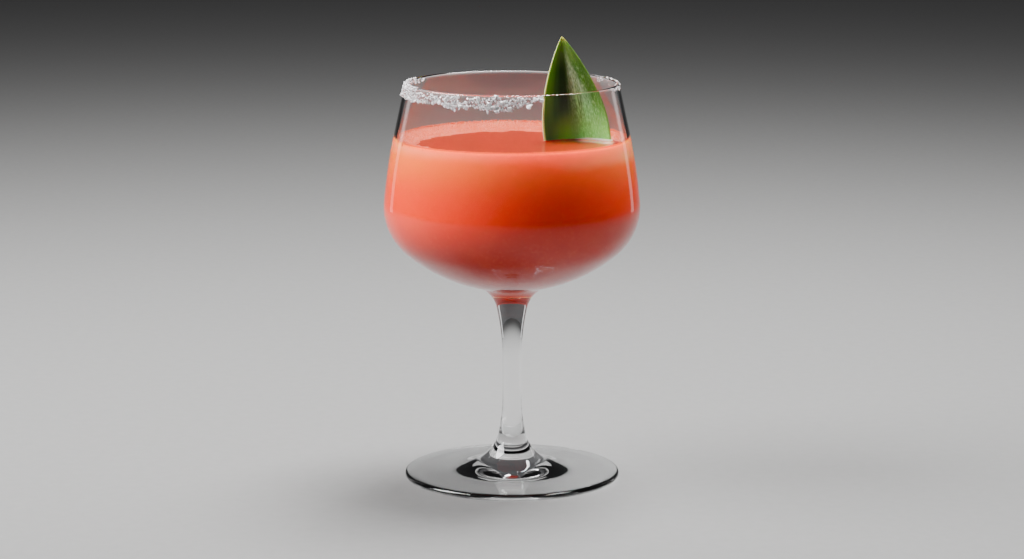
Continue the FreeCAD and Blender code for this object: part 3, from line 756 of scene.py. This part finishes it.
bead = add(beaded, "GeometryNodeSetShadeSmooth", {"Geometry": bead})[0]
end_tree(beaded, bead, given["Finish"])
run_tree(wet_line, beaded, Radius=0.48 * MM, From=23 * MM, Full=28 * MM, Finish=wet_bead_highlight)
print("wet line", round(volume_of(wet_line) * 1000, 1), "mm3")

# %% [markdown]
# ## Froth bubbles
# Shaking leaves fine bubbles, which gather against the glass and lie on the froth. One small bubble of a
# few dozen faces is repeated on points: a ring of points round the wall gives the row that sits against the
# glass, and points scattered over the frothy part of the surface give the rest.

# %% Froth finish
froth_skin, tree, where = new_finish("froth")
mottle = noise(tree, where["Object"], 500, detail=3)
end_finish(tree, add(tree, "ShaderNodeBsdfPrincipled", {
    "Base Color": blended(tree, mottle, (0.48, 0.070, 0.028, 1), (0.62, 0.125, 0.058, 1)),
    "Roughness": remap(tree, mottle, 0.3, 0.7, 0.12, 0.3), "IOR": 1.34,
    "Subsurface Weight": 0.7, "Subsurface Scale": 1.5 * MM, "Subsurface Radius": (1.0, 0.4, 0.25)})[0])

# %% [markdown]
# The row against the wall is a circle of points, each moved a little at random. It is left out at the
# front, where the drink is clear up to the glass.

# %% Froth bubble tree: the row at the wall
def random_value(tree, low, high, seed, kind="FLOAT"):
    feeds = {"Min": low, "Max": high, "Seed": seed}
    return socket_named(add(tree, "FunctionNodeRandomValue", feeds, data_type=kind), "Value")


CLEAR_FRONT, ROW_LIFT = -18 * MM, 0.6 * MM
JITTER_LOW, JITTER_HIGH = [-0.5 * MM, -0.5 * MM, -0.1 * MM], [0.5 * MM, 0.5 * MM, 0.3 * MM]
foaming, given = start_tree(
    "Froth bubbles", Wall_radius="Float", Level="Float", Smallest="Float", Largest="Float", Wall_count="Int",
    Density="Float", Seed="Int", Finish="Material")
seed = given["Seed"]
place = split(foaming, add(foaming, "GeometryNodeInputPosition")[0])
ring = add(foaming, "GeometryNodeMeshCircle", {
    "Vertices": given["Wall count"], "Radius": given["Wall radius"]})["Mesh"]
ring = add(foaming, "GeometryNodeMeshToPoints", {"Mesh": ring})[0]
at_front = maths(foaming, "LESS_THAN", place["Y"], CLEAR_FRONT)
ring = add(foaming, "GeometryNodeDeleteGeometry", {"Geometry": ring, "Selection": at_front},
           domain="POINT")[0]
to_level = add(foaming, "ShaderNodeCombineXYZ", {"Z": plus(foaming, given["Level"], ROW_LIFT)})[0]
jitter = random_value(foaming, JITTER_LOW, JITTER_HIGH, seed, "FLOAT_VECTOR")
shift = add(foaming, "ShaderNodeVectorMath", {0: jitter, 1: to_level}, operation="ADD")[0]
ring = add(foaming, "GeometryNodeSetPosition", {"Geometry": ring, "Offset": shift})[0]

# %% [markdown]
# A bubble is a ball of six segments and four rings, because thousands of them are made. The random number
# for its size is raised to a power, which gives many small bubbles and few large ones, as in real froth.

# %% Froth bubble tree: the scatter and the bubbles
LEVEL_SLACK, BUBBLE_GAP, FEW_LARGE = 0.05 * MM, 0.45 * MM, 2.2
on_top = maths(foaming, "GREATER_THAN", place["Z"], minus(foaming, given["Level"], LEVEL_SLACK))
frothy = times(foaming, remap(foaming, pool_reach(foaming, place["X"], place["Y"]), 0.96, 1.12), on_top)
scatter = add(foaming, "GeometryNodeDistributePointsOnFaces", {
    "Mesh": given["Geometry"], "Distance Min": BUBBLE_GAP, "Density Max": given["Density"],
    "Density Factor": frothy, "Seed": seed}, distribute_method="POISSON")["Points"]
bubble = add(foaming, "GeometryNodeMeshUVSphere", {"Segments": 6, "Rings": 4, "Radius": 1.0})["Mesh"]
bubble = add(foaming, "GeometryNodeSetShadeSmooth", {"Geometry": bubble})[0]
chance = random_value(foaming, 0.0, 1.0, plus(foaming, seed, 1))
girth = remap(foaming, maths(foaming, "POWER", chance, FEW_LARGE), 0.0, 1.0,
              given["Smallest"], given["Largest"], "LINEAR")
bubbles = add(foaming, "GeometryNodeInstanceOnPoints", {
    "Points": joined(foaming, ring, scatter), "Instance": bubble, "Scale": girth})[0]
end_tree(foaming, bubbles, given["Finish"])
LARGEST_BUBBLE = 0.45
row_radius = wall_at_level - LARGEST_BUBBLE
froth = run_tree(placed("froth_bubbles", drink.data), foaming, Wall_radius=row_radius * MM, Level=LEVEL * MM,
                 Smallest=0.14 * MM, Largest=LARGEST_BUBBLE * MM, Wall_count=620, Density=2.2e6, Seed=5,
                 Finish=froth_skin)

# %% [markdown]
# ## Salt finish
# A grain of coarse salt is a broken crystal, clear inside and white where it is cracked or rough. It lets
# light through, scatters some of it and glints on its flat faces, so the finish is part clear and part
# milky. What holds the grains is a thin film of brine on the wetted glass. It is nearly invisible, so its
# finish lets most light straight through and adds only a faint gloss.

# %% Salt and brine finishes
salt_grain, tree, where = new_finish("salt crystal")
cloud = noise(tree, where["Object"], 700, detail=3)
frost = noise(tree, where["Object"], 5200, detail=2)
end_finish(tree, add(tree, "ShaderNodeBsdfPrincipled", {
    "Base Color": blended(tree, cloud, (0.80, 0.80, 0.83, 1), (0.97, 0.97, 0.98, 1)),
    "IOR": 1.54, "Roughness": remap(tree, cloud, 0.35, 0.65, 0.06, 0.26),
    "Transmission Weight": remap(tree, cloud, 0.42, 0.66, 0.45, 0.05),
    "Normal": bumped(tree, frost, 0.03 * MM, 0.3),
    "Subsurface Weight": 0.25, "Subsurface Scale": 0.8 * MM, "Subsurface Radius": (1.0, 1.0, 1.0)})[0])
FILM_SHARE = 0.03
brine, tree, where = new_finish("brine film")
dull = remap(tree, noise(tree, where["Object"], 900, detail=2), 0.3, 0.7, 0.2, 0.4)
wet = add(tree, "ShaderNodeBsdfPrincipled", {"Base Color": (0.8, 0.8, 0.82, 1), "Roughness": dull})[0]
through = add(tree, "ShaderNodeBsdfTransparent")[0]
end_finish(tree, add(tree, "ShaderNodeMixShader", {0: FILM_SHARE, 1: through, 2: wet})[0])

# %% [markdown]
# ## Salt grains
# Each grain is the hull of a few points scattered in a squarish block, which gives flat faces and sharp
# corners like a broken crystal. Eight different grains are enough: turned and sized at random, no two look
# alike.

# %% Shape the grains
GRAIN_KINDS, GRAIN_POINTS = 8, 13
dice = random.Random(31)
grains = bpy.data.collections.new("salt grains")
for kind in range(GRAIN_KINDS):
    block = Vector((1.0, dice.uniform(0.72, 1.0), dice.uniform(0.6, 0.95))) / 2
    chips = bmesh.new()
    for _ in range(GRAIN_POINTS):
        way = Vector([dice.choice((-1, 1)) * dice.uniform(0.55, 1.0) for _ in range(3)])
        way[dice.randrange(3)] *= dice.uniform(0.2, 1.0)
        chips.verts.new([w * b for w, b in zip(way, block)])
    hull = bmesh.ops.convex_hull(chips, input=chips.verts)
    spare = {v for v in hull["geom_interior"] + hull["geom_unused"] if isinstance(v, bmesh.types.BMVert)}
    bmesh.ops.delete(chips, geom=list(spare), context="VERTS")
    bmesh.ops.recalc_face_normals(chips, faces=chips.faces)
    grain_mesh = bpy.data.meshes.new(f"grain_{kind}")
    chips.to_mesh(grain_mesh)
    chips.free()
    grains.objects.link(bpy.data.objects.new(f"grain_{kind}", grain_mesh))

# %% [markdown]
# Two trees put grains on points, so the step is a function: each point gets one of the eight grains, picked
# and turned at random.

# %% Put a grain on every point
def grains_on(tree, points, grains, breadth, seed):
    kinds = add(tree, "GeometryNodeCollectionInfo", {
        "Collection": grains, "Separate Children": True, "Reset Children": True})[0]
    turns = random_value(tree, (0.0, 0.0, 0.0), (math.tau, math.tau, math.tau), seed, "FLOAT_VECTOR")
    return add(tree, "GeometryNodeInstanceOnPoints", {
        "Points": points, "Instance": kinds, "Pick Instance": True, "Rotation": turns, "Scale": breadth})[0]


# %% [markdown]
# ## The salt crust tree
# The rim was wetted and pressed in salt, so grains stick to the outside of the lip and along its top in a
# ragged band. The CAD model holds that band as a plain heap. The tree takes a copy of the heap and pulls it
# in towards the glass until it is a thin core of brine. How far each point was from the glass is stored
# first, because it tells the outer side of the heap, which takes the grains, from the side that lies on the
# glass.

# %% Salt crust tree: the core
OUTER_SIDE_FROM = 0.1 * MM
crusting, given = start_tree(
    "Salt crust", Glass="Object", Grains="Collection", Core="Float", Spacing="Float", Density="Float",
    Smallest="Float", Largest="Float", Left="Float", Right="Float", Top="Float", Over_until="Float",
    Bare_left="Float", Bare_right="Float", Small_left="Float", Seed="Int", Film="Material", Finish="Material")
glass_info = add(crusting, "GeometryNodeObjectInfo", {"Object": given["Glass"]}, transform_space="RELATIVE")
nearest = add(crusting, "GeometryNodeProximity", {"Geometry": glass_info["Geometry"]}, target_element="FACES")
place = add(crusting, "GeometryNodeInputPosition")[0]
feeds = {0: given["Core"], "A": socket_named(nearest, "Position"), "B": place}
pulled = socket_named(add(crusting, "ShaderNodeMix", feeds, data_type="VECTOR"), "Result")
core = add(crusting, "GeometryNodeSubdivideMesh", {"Mesh": given["Geometry"], "Level": 1})[0]
core = stored(crusting, core, "off_glass", socket_named(nearest, "Distance"))
core = add(crusting, "GeometryNodeSetPosition", {"Geometry": core, "Position": pulled})[0]
core = add(crusting, "GeometryNodeSetMaterial", {"Geometry": core, "Material": given["Film"]})[0]
off_glass = add(crusting, "GeometryNodeInputNamedAttribute", {"Name": "off_glass"}, data_type="FLOAT")[0]
outer = maths(crusting, "GREATER_THAN", off_glass, OUTER_SIDE_FROM)
outer_side = add(crusting, "GeometryNodeSeparateGeometry", {"Geometry": core, "Selection": outer},
                 domain="FACE")[0]

# %% [markdown]
# Salt doesn't cover the core evenly. A noise leaves bare patches, more or fewer of them from left to right,
# and grains go over the top of the lip only on the far left. The grains are finer towards the left, and
# small ones outnumber large ones everywhere.

# %% Salt crust tree: the grains
PATCH_SCALE, PATCH_SOFTNESS, FEW_COARSE = 420, 0.03, 1.7
spot = split(crusting, place)
below_lip = maths(crusting, "LESS_THAN", spot["Z"], given["Top"])
over_lip = maths(crusting, "LESS_THAN", spot["X"], given["Over until"])
bareness = remap(crusting, spot["X"], given["Left"], given["Right"], given["Bare left"], given["Bare right"])
cover = minus(crusting, noise(crusting, place, PATCH_SCALE, detail=2), bareness)
patchy = times(crusting, remap(crusting, cover, -PATCH_SOFTNESS, PATCH_SOFTNESS),
               maths(crusting, "MAXIMUM", below_lip, over_lip))
seed = given["Seed"]
scatter = add(crusting, "GeometryNodeDistributePointsOnFaces", {
    "Mesh": outer_side, "Distance Min": given["Spacing"], "Density Max": given["Density"],
    "Density Factor": patchy, "Seed": seed}, distribute_method="POISSON")["Points"]
chance = random_value(crusting, 0.0, 1.0, plus(crusting, seed, 2))
chance = maths(crusting, "POWER", chance, FEW_COARSE)
breadth = remap(crusting, chance, 0.0, 1.0, given["Smallest"], given["Largest"], "LINEAR")
fineness = remap(crusting, spot["X"], given["Left"], given["Right"], given["Small left"], 1.0)
breadth = times(crusting, breadth, fineness)
stuck = grains_on(crusting, scatter, given["Grains"], breadth, plus(crusting, seed, 1))
heap = joined(crusting, core, stuck)
is_film = add(crusting, "GeometryNodeMaterialSelection", {"Material": given["Film"]})[0]
end_tree(crusting, heap, given["Finish"], minus(crusting, 1.0, is_film))

# %% [markdown]
# The main crust runs round the left and the front of the rim. A short, finer one sits at the right. Both
# are made by the same tree from their own heap, whose loose triangles are merged first, in a copy.

# %% Make the crusts
def copy_of_node(node, name):
    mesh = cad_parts[node].data.copy()
    probe = bmesh.new()
    probe.from_mesh(mesh)
    bmesh.ops.remove_doubles(probe, verts=probe.verts, dist=ONE_PLACE)
    probe.to_mesh(mesh)
    probe.free()
    return placed(name, mesh)


shared = {"Glass": glass, "Grains": grains, "Film": brine, "Finish": salt_grain}
crust = run_tree(copy_of_node("salt_crust", "salt_crust_grains"), crusting, Core=0.15, Spacing=0.74 * MM,
                 Density=6e6, Smallest=0.9 * MM, Largest=1.8 * MM, Left=-38 * MM, Right=-20 * MM,
                 Top=149.3 * MM, Over_until=-35 * MM, Bare_left=0.34, Bare_right=0.41, Small_left=0.62,
                 Seed=3, **shared)
patch = run_tree(copy_of_node("salt_patch", "salt_patch_grains"), crusting, Core=0.04, Spacing=0.55 * MM,
                 Density=4e6, Smallest=0.35 * MM, Largest=0.8 * MM, Left=26 * MM, Right=42 * MM,
                 Top=160 * MM, Over_until=0.0, Bare_left=0.60, Bare_right=0.55, Small_left=0.9,
                 Seed=8, **shared)

# %% [markdown]
# ## Loose grains
# Some grains stick by themselves: larger ones hang below the band at the front, a few went over the lip at
# the left and a few sit past the ends. Each is a point on the wall, worked out from its angle round the rim
# and its distance down the lip, and a short tree puts a grain on every point.

# %% Loose grain tree
single, given = start_tree("Loose grains", Grains="Collection", Seed="Int", Finish="Material")
breadth = add(single, "GeometryNodeInputNamedAttribute", {"Name": "breadth"}, data_type="FLOAT")[0]
points = add(single, "GeometryNodeMeshToPoints", {"Mesh": given["Geometry"]})[0]
end_tree(single, grains_on(single, points, given["Grains"], breadth, given["Seed"]), given["Finish"])

# %% [markdown]
# The largest grains are listed one by one, each by its angle, its distance below the lip and its breadth. The
# others are strewn over stretches of the rim: below the band, inside the lip at the left and past the
# right-hand end.

# %% Place the loose grains
LIP_LEAN = math.radians(12.55)


def on_lip(degrees, down, out):
    """A place on the glass under the rim, in metres: out is from the outside of the wall."""
    radius = RIM[0] + down * math.sin(LIP_LEAN) + out * math.cos(LIP_LEAN)
    height = RIM[1] - down * math.cos(LIP_LEAN) + out * math.sin(LIP_LEAN)
    turn = math.radians(degrees)
    return (radius * MM * math.cos(turn), radius * MM * math.sin(turn), height * MM)


def strewn(count, arc, drop, out, breadths):
    return [(on_lip(dice.uniform(*arc), dice.uniform(*drop), out), dice.uniform(*breadths))
            for _ in range(count)]


dice = random.Random(12)
largest = [(243, 4.3, 1.7), (247, 4.5, 1.8), (258, 4.6, 1.9), (262, 5.6, 1.4), (269, 5.1, 2.1),
           (279, 3.9, 2.4), (274, 3.2, 1.7), (285, 1.9, 1.8), (283, 1.2, 1.5)]
strays = [(on_lip(degrees, down, 0.5), size) for degrees, down, size in largest]
strays += strewn(26, (172, 262), (3.9, 4.7), 0.3, (0.7, 1.3))
strays += strewn(10, (150, 180), (0.4, 1.8), -WALL - 0.2, (0.6, 1.0))
strays += strewn(6, (-24, -10), (0.3, 1.6), 0.2, (0.5, 0.9))
spots = mesh_piece("salt_loose_grains", [spot for spot, _ in strays])
breadths = spots.data.attributes.new("breadth", "FLOAT", "POINT")
breadths.data.foreach_set("value", [size * MM for _, size in strays])
loose = run_tree(spots, single, Grains=grains, Seed=40, Finish=salt_grain)

# %% [markdown]
# ## Floor and lights
# The object stands on a plain pale floor, which catches its shadow and shows through the clear stem. The
# floor is a flat round sheet of 96 sides, with a fine grit in its colour and its bump so that it isn't a
# dead grey.

# %% Floor
floor_finish, tree, where = new_finish("pale floor")
grit = noise(tree, where["Object"], 220, detail=5)
end_finish(tree, add(tree, "ShaderNodeBsdfPrincipled", {
    "Base Color": blended(tree, grit, (0.170, 0.169, 0.167, 1), (0.195, 0.194, 0.192, 1)),
    "Roughness": 0.55, "Specular IOR Level": 0.25, "Normal": bumped(tree, grit, 0.05 * MM, 0.2)})[0])
FLOOR_RADIUS, FLOOR_SIDES, FLOOR_DROP = 4.0, 96, 0.02 * MM
corners = [(FLOOR_RADIUS * math.cos(math.tau * n / FLOOR_SIDES),
            FLOOR_RADIUS * math.sin(math.tau * n / FLOOR_SIDES), 0) for n in range(FLOOR_SIDES)]
floor_mesh = bpy.data.meshes.new("floor")
floor_mesh.from_pydata(corners, [], [tuple(range(FLOOR_SIDES))])
floor_mesh.materials.append(floor_finish)
floor = placed("floor", floor_mesh)
floor.location.z = -FLOOR_DROP

# %% [markdown]
# Each lamp is a soft box: an area light aimed at the middle of the bowl. The large key stands high at the
# left and a smaller one hangs behind and above, so that light comes through the rim of the drink. Two slim
# strips behind the glass draw the bright lines down its sides, and a dim grey world fills the rest.

# %% Lights
def soft_box(name, place, aim, width, height, watts):
    lamp = bpy.data.lights.new(name, "AREA")
    lamp.shape, lamp.size, lamp.size_y, lamp.energy = "RECTANGLE", width, height, watts
    box = placed(name, lamp)
    box.location = place
    box.rotation_euler = (Vector(aim) - Vector(place)).to_track_quat("-Z", "Y").to_euler()
    print(name, watts, "W")


MIDDLE, DIM_GREY = (0, 0, 0.11), (0.08, 0.08, 0.083, 1)
soft_box("key", (-0.70, -0.04, 0.66), MIDDLE, 0.55, 0.55, 27)
soft_box("left_edge", (-0.52, 0.50, 0.22), MIDDLE, 0.09, 0.55, 0.16)
soft_box("right_edge", (0.52, 0.50, 0.22), MIDDLE, 0.09, 0.55, 0.16)
soft_box("overhead", (0.16, 0.22, 0.80), (0.01, 0, 0.13), 0.40, 0.40, 25)
world = bpy.data.worlds.new("studio")
world.use_nodes = True
world.node_tree.nodes["Background"].inputs["Color"].default_value = DIM_GREY
bpy.context.scene.world = world

# %% [markdown]
# ## One body
# Every piece rides on the one body, and the CAD solids that the pieces stand in for are hidden.

# %% Ride and hide the CAD solids
for piece, slot, nodes in [
        (glass, "glass", ["glass"]), (drink, "drink", ["drink"]), (froth, "drink", []),
        (wet_line, "drink", []), (leaf, "leaf", ["leaf"]), (crust, "salt", ["salt_crust"]),
        (patch, "salt", ["salt_patch"]), (loose, "salt", [])]:
    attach(piece, "root")
    if nodes:
        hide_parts(*nodes)
